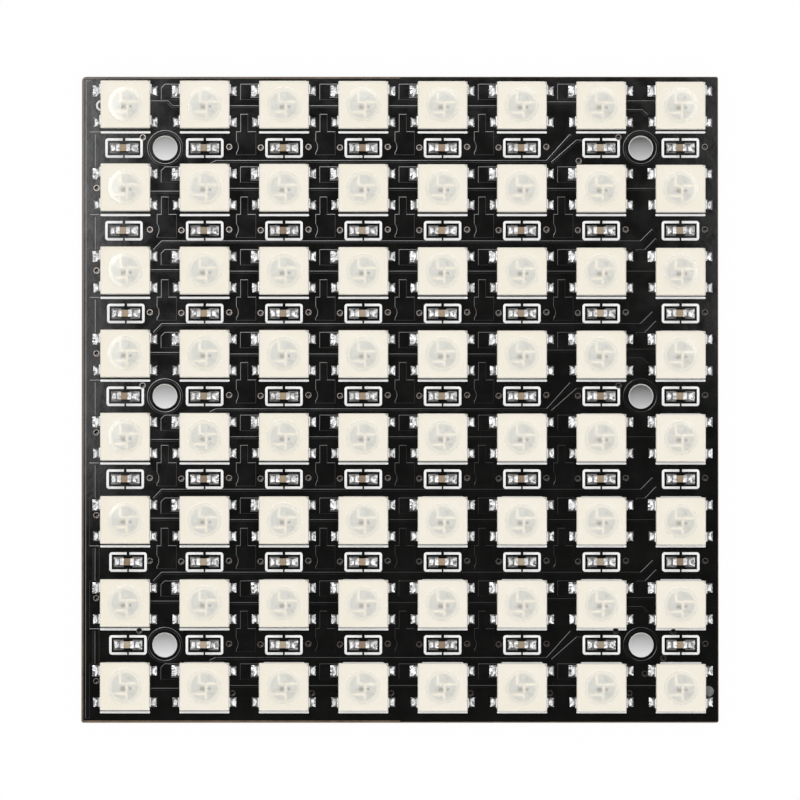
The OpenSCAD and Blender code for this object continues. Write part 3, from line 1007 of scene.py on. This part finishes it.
# %% [markdown]
# ## Capacitor body and end
# The body's long edges are tumbled round, and the plating wraps its ends like
# a cap with round corners. The ends could be faces of the body in a second
# material, but a real one stands out a little. So an end is a block whose
# inner face is inset and pushed in, like a cap pulled over the body. Its small
# ramps of solder are made as the LEDs' are, and the one on the right is longer.

# %% Capacitor patterns
BODY_X, BODY_Y, BODY_LOW, BODY_HIGH = 0.72, 0.345, 0.07, 0.76
END_IN, END_OUT, END_Y, END_LOW, END_HIGH = 0.34, 0.75, 0.375, 0.04, 0.79


def make_cap_body():
    o = block(-BODY_X, BODY_X, -BODY_Y, BODY_Y, BODY_LOW, BODY_HIGH)
    soften(o, lambda a, b: near(a.y, b.y) and near(a.z, b.z), 0.04, 2)
    return smooth(o, 50)


def make_cap_end():
    o = block(END_IN, END_OUT, -END_Y, END_Y, END_LOW, END_HIGH)
    pick(o, "FACE", lambda c, n: n.x < -0.9)
    ops.mesh.inset(thickness=0.03)
    ops.transform.translate(value=(0.2, 0, 0))
    let_go()
    outer = lambda p: (abs(p.y) > END_Y - 0.015 or p.z > END_HIGH - HAIR
                       or p.z < END_LOW + HAIR or p.x > END_OUT - HAIR)
    soften(o, lambda a, b: outer(a) and outer(b) and max(a.x, b.x) > 0.5, 0.06, 1)
    return smooth(o, 60)


cap_body = make_cap_body()
cap_end = make_cap_end()
cap_ramps = [make_ramp(0.74, 1.54, 0.42, 0.04, 0.46, 1.3, 0.04),
             make_ramp(0.74, 1.36, 0.42, 0.04, 0.44, 1.1, 0.05)]
print("faces of a body, an end and a ramp:",
      [len(o.data.polygons) for o in (cap_body, cap_end, cap_ramps[0])])

# %% [markdown]
# ## Rows of capacitors
# The capacitors stand between the rows of LEDs, a little to the left of the
# grid's columns, and those of the first column wander from row to row. They
# could all be one mesh, but bodies and ends are one mesh a row, as the solids
# are, and only the solder is one mesh in all.

# %% Rows of capacitors
CAP_SHIFT = -0.09
WANDER = [-0.15, -0.15, 0.05, 0, 0, 0.3, 0.3]
HALF_TURN = math.pi


def cap_x(row, column):
    return LED_X[column] + (WANDER[row] if column == 0 else 0) + CAP_SHIFT


ramp_places = []
for row, y in enumerate(CAP_Y):
    number = row + 1
    spots = [(cap_x(row, column), y, BOARD_T) for column in range(COUNT)]
    dress(lay_out([cap_body], f"ceramic_{number}", [(*s, 0, 0) for s in spots]),
          [f"capacitor_bodies_row_{number}"], CERAMIC)
    ends = [(*s, turn, 0) for s in spots for turn in (0, HALF_TURN)]
    dress(lay_out([cap_end], f"cap_ends_{number}", ends),
          [f"capacitor_ends_row_{number}"], TINNED)
    ramp_places += [(*s, turn, which) for s in spots for turn, which in ((0, 0), (HALF_TURN, 1))]
dress(lay_out(cap_ramps, "cap_solder", ramp_places),
      ["capacitor_solder_joints"], SOLDER)
for pattern in [cap_body, cap_end, *cap_ramps]:
    bpy.data.objects.remove(pattern)
print("capacitors laid out:", len(ramp_places) // 2)

# %% [markdown]
# ## Printed lines
# Lead frames, lands, plated holes, printed lines and chips are already the
# right shape. They could be modelled again, but they need only their finish,
# set on the solid itself. Printing is a thin white ink, matt and worn greyer in
# spots.

# %% Printed lines
def paint(names, material):
    for name in names:
        o = nodes[name]
        o.data.materials.clear()
        o.data.materials.append(material)
    print("painted:", len(names), "with", material.name)


def ink_finish():
    f = Finish("white printed line", IOR=1.5)
    wear = f.noise(3.0, 4, seed=41.0).ramp(0.6, 0.85)
    f.set(Base_Color=f.blend(wear, (0.94, 0.945, 0.95), (0.78, 0.79, 0.79)))
    f.set(Roughness=f.noise(4.0, 2, seed=42.0) * 0.2 + 0.45)
    return f.bumps(f.noise(7.0, 3, seed=43.0), 0.01)


paint(["silkscreen"], ink_finish())

# %% [markdown]
# ## Lead frames, lands and holes
# A lead frame is stamped from silvered sheet. Inside the cup it has tarnished
# and looks grey through the silicone, while its feet outside are bright. The
# distance from the LED's middle tells the two apart, so the frame stays in
# one piece. The lands are tinned and dull, and the holes' rings are bare.

# %% Lead frames, lands and holes
FRAME_OUTSIDE = 2.35


def silver_finish():
    f = Finish("silvered lead frame")
    outside = abs(led_x(f)).above(FRAME_OUTSIDE)
    tarnish = f.noise(1.7, 4, seed=51.0).ramp(0.4, 0.8)
    island = f.blend(tarnish, (0.58, 0.605, 0.61), (0.53, 0.55, 0.545))
    f.set(Base_Color=f.blend(outside, island, (0.90, 0.90, 0.90)))
    f.set(Metallic=outside * 0.75 + 0.2)
    f.set(Roughness=f.noise(4.0, 2, seed=52.0) * 0.15 + 0.3 - outside * 0.12)
    return f.bumps(f.noise(3.0, 2, seed=53.0), 0.02)


paint([f"led_lead_frames_row_{number}" for number in range(1, COUNT + 1)],
      silver_finish())
paint(["lands", "back_wire_lands"], solder_finish("tinned land", 0.2, 0.3))
paint(["vias"], COPPER)

# %% [markdown]
# ## Chips
# Two of the four chips in a cup are dark and two are pale, and all are dice of
# a hard, glossy crystal. A little noise in the tone keeps them from looking
# printed on, and a high index of refraction gives them their shine.

# %% Chips
def chip_finish(name, dark, pale):
    f = Finish(name, IOR=1.8)
    f.set(Base_Color=f.blend(f.noise(6.0, 2, seed=71.0).ramp(0.3, 0.7), dark, pale))
    f.set(Roughness=f.noise(7.0, 2, seed=72.0) * 0.2 + 0.25)
    return f.bumps(f.noise(12.0, 2, seed=73.0), 0.003)


paint(["driver_chips", "red_chips"],
      chip_finish("dark chip", (0.05, 0.05, 0.045), (0.13, 0.13, 0.11)))
paint(["green_chips", "blue_chips"],
      chip_finish("pale chip", (0.45, 0.52, 0.50), (0.58, 0.62, 0.60)))

# %% [markdown]
# ## Floor
# The board lies on a pale sweep that looks white to the camera and in mirrors,
# without sending that light on to the board. Under the board it is painted dim,
# a painted shadow, and its glow there is a painted pool of light for what comes
# slantwise through the mounting holes: it lies on the near side of each hole,
# and is weaker in the two right-hand holes in the middle and at the far edge.

# %% Floor
NEAR_HOLES = -12
GLOW = 0.97
UNDER_BOARD = 0.02


def make_floor():
    let_go()
    ops.mesh.primitive_plane_add(size=30, location=(0, 0, 0))
    floor = bpy.context.object
    floor.name = "floor"
    sweep = Finish("pale sweep", Roughness=0.9)
    material, tree = sweep.material, sweep.tree
    path = tree.nodes.new("ShaderNodeLightPath")
    seen = Value(sweep, path.outputs["Is Camera Ray"])
    for ray in ("Is Glossy Ray", "Is Transmission Ray"):
        seen = seen.most(Value(sweep, path.outputs[ray]))
    covered = abs(sweep.x).below(HALF_X - 0.1) * abs(sweep.y).below(HALF_Y - 0.1)
    # Painted shadow: the floor is darker under the board.
    sweep.set(Base_Color=sweep.blend(covered, (0.9, 0.9, 0.9), (0.24, 0.24, 0.25)))
    # Painted pool of light in each mounting hole, on its near side, weaker in the right-hand holes
    # in the middle and at the far edge.
    painted_light_near_side = hole_middle(sweep)[1].ramp(1.0, -1.0)
    painted_light_open_holes = sweep.x.below(0).most(sweep.y.below(NEAR_HOLES))
    share = GLOW - covered * (GLOW - painted_light_near_side * 0.46 - painted_light_open_holes * 0.24 - UNDER_BOARD)
    glow = sweep.node("ShaderNodeEmission", {}, {"Strength": 1.0})
    lit = Value(sweep, sweep.shader.outputs[0])
    mix = sweep.node("ShaderNodeMixShader", {}, [seen * share, lit, glow])
    tree.links.new(mix.socket, tree.nodes["Material Output"].inputs[0])
    floor.data.materials.append(material)
    return floor


floor = make_floor()
print("floor of", round(floor.dimensions.x), "m")

# %% [markdown]
# ## Soft boxes
# A glossy black board shows what it mirrors more than its own colour. Seen
# from above it mirrors the dark round the camera, so a lamp's near edge
# decides where a sheen starts. Boxes on the left, beyond the far edge and on
# the right end about where the board's own edges would mirror them. So a sheen
# lies along its left and far edges and at its far right, and fades inwards.

# %% Soft boxes
BOX_Z = 0.5


def soft_box(name, x0, x1, y0, y1, z, radiance):
    """A lamp facing down, with its edges given in metres and its brightness as a surface's."""
    lamp = bpy.data.lights.new(name, "AREA")
    lamp.shape, lamp.size, lamp.size_y = "RECTANGLE", x1 - x0, y1 - y0
    lamp.energy = radiance * math.pi * (x1 - x0) * (y1 - y0)
    o = bpy.data.objects.new(name, lamp)
    o.location = ((x0 + x1) / 2, (y0 + y1) / 2, z)
    bpy.context.scene.collection.objects.link(o)
    o.visible_camera = False
    print(name, "of", round(lamp.energy, 4), "W")


soft_box("left box", -0.13, -0.0405, 0.012, 0.2, BOX_Z, 2.3)
soft_box("far left box", -0.13, -0.0405, 0.045, 0.2, BOX_Z - 0.001, 1.7)
soft_box("top box", -0.12, 0.12, 0.072, 0.16, BOX_Z, 1.4)
soft_box("right box", 0.044, 0.08, 0.03, 0.14, BOX_Z, 1.6)

# %% [markdown]
# ## Tent
# The rest of the light comes from all round, as in a tent of white cloth with
# a hole at the top for the camera. A ring of light stands round the hole,
# brighter towards the near side, so that lines printed beside a housing stay
# white and solder turns from white to black within a few degrees. Inside the
# ring it is nearly dark, which is what the lacquer mirrors. Sheets with lamps
# behind them could be built, but the world gives the same light with no mesh.

# %% Tent
def make_tent():
    """A ring of light round the zenith, dark inside and dim outside."""
    world = bpy.data.worlds.new("tent")
    bpy.context.scene.world = world
    world.use_nodes = True
    air = Graph(world.node_tree, "Generated", 1)
    ring = air.z.ramp(0.93, 0.88) * (air.z.ramp(0.4, 0.6) * 1.26 + 0.13)
    glow = ring * (1 - air.y * 0.45) + 0.05
    background = world.node_tree.nodes["Background"]
    world.node_tree.links.new(glow.socket, background.inputs["Strength"])
    background.inputs["Color"].default_value = (1, 1, 1, 1)
    return world


tent = make_tent()
bpy.context.scene.view_settings.view_transform = "Standard"
print("lit by", tent.name)

# %% [markdown]
# ## Camera
# A flat board is taken from nearly above through a long lens, which keeps its
# sides parallel. From straight above, the walls would be hidden. So the eye
# stands a little to the near side, where the housings show a hair of their
# near walls, and is tilted to look straight at the board's middle.

# %% Camera
EYE_BACK = 0.0733
EYE_HEIGHT = 1.5
camera = bpy.data.cameras.new("camera")
camera.sensor_width, camera.lens = 36, 661.2
camera.clip_start, camera.clip_end = 0.01, 100
eye = bpy.data.objects.new("camera", camera)
eye.location = (0, -EYE_BACK, EYE_HEIGHT)
eye.rotation_euler = (math.atan2(EYE_BACK, EYE_HEIGHT), 0, 0)
bpy.context.scene.collection.objects.link(eye)
bpy.context.scene.camera = eye
print("camera tilted by", round(math.degrees(eye.rotation_euler.x), 2), "degrees")
